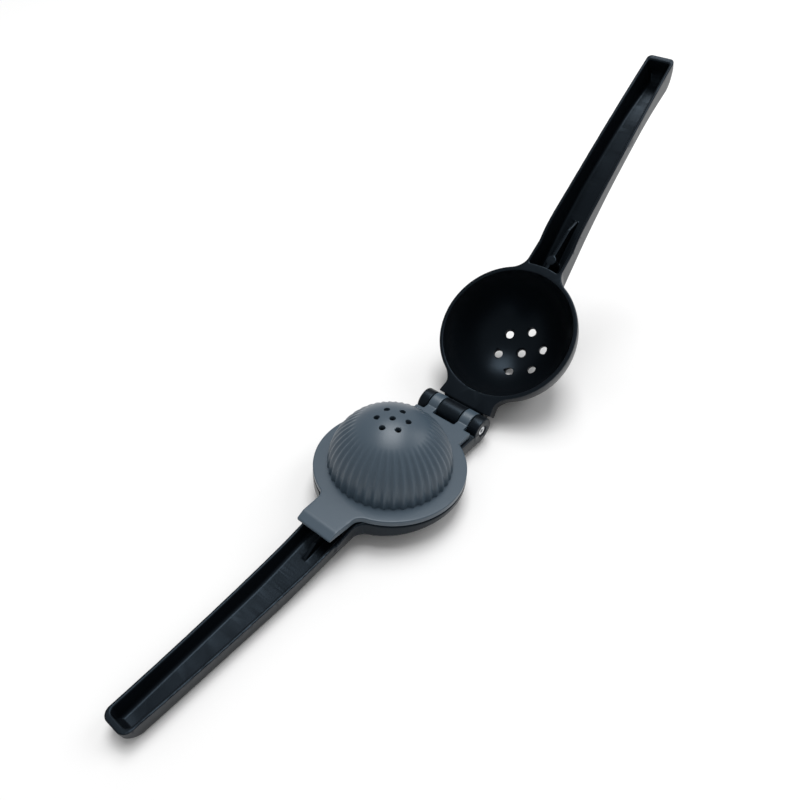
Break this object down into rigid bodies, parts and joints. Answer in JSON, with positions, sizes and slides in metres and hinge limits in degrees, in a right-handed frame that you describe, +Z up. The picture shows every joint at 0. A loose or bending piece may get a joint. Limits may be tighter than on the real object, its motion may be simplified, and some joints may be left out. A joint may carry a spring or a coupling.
{
  "type": "hinged lemon squeezer",
  "caption": "Two-lever hinged lemon squeezer with a perforated bowl, a press ring with a hollow plunger and a fluted swing-over insert for large fruit.",
  "frame": {"origin": "on the table, in the middle of the lower handle's flat underside", "axes": "+Z up from the table; +X along the squeezer from the lower handle towards the bowl; the hinge pin lies along Y; the part is symmetric about the XZ plane"},
  "size_m": [0.3942, 0.076, 0.1446],
  "materials": {
    "lever_black": "satin moulded black with a faint blue tone",
    "insert_slate": "satin moulded blue-grey",
    "pin_steel": "plain steel tube"
  },
  "bodies": {
    "press": {"press_lever": "lever_black", "hinge_pin": "pin_steel"},
    "insert": {"cup_insert": "insert_slate"},
    "bowl": {"bowl_lever": "lever_black"}
  },
  "joints": [
    {"name": "insert_hinge", "type": "hinge", "parent": "press", "child": "insert", "pos_m": [0.17513, 0, 0.0102], "axis": [0, 1, 0], "range_deg": [0, 138.4]},
    {"name": "bowl_hinge", "type": "hinge", "parent": "insert", "child": "bowl", "pos_m": [0.17513, 0, 0.0102], "axis": [0, -1, 0], "range_deg": [0, 138.4]}
  ]
}
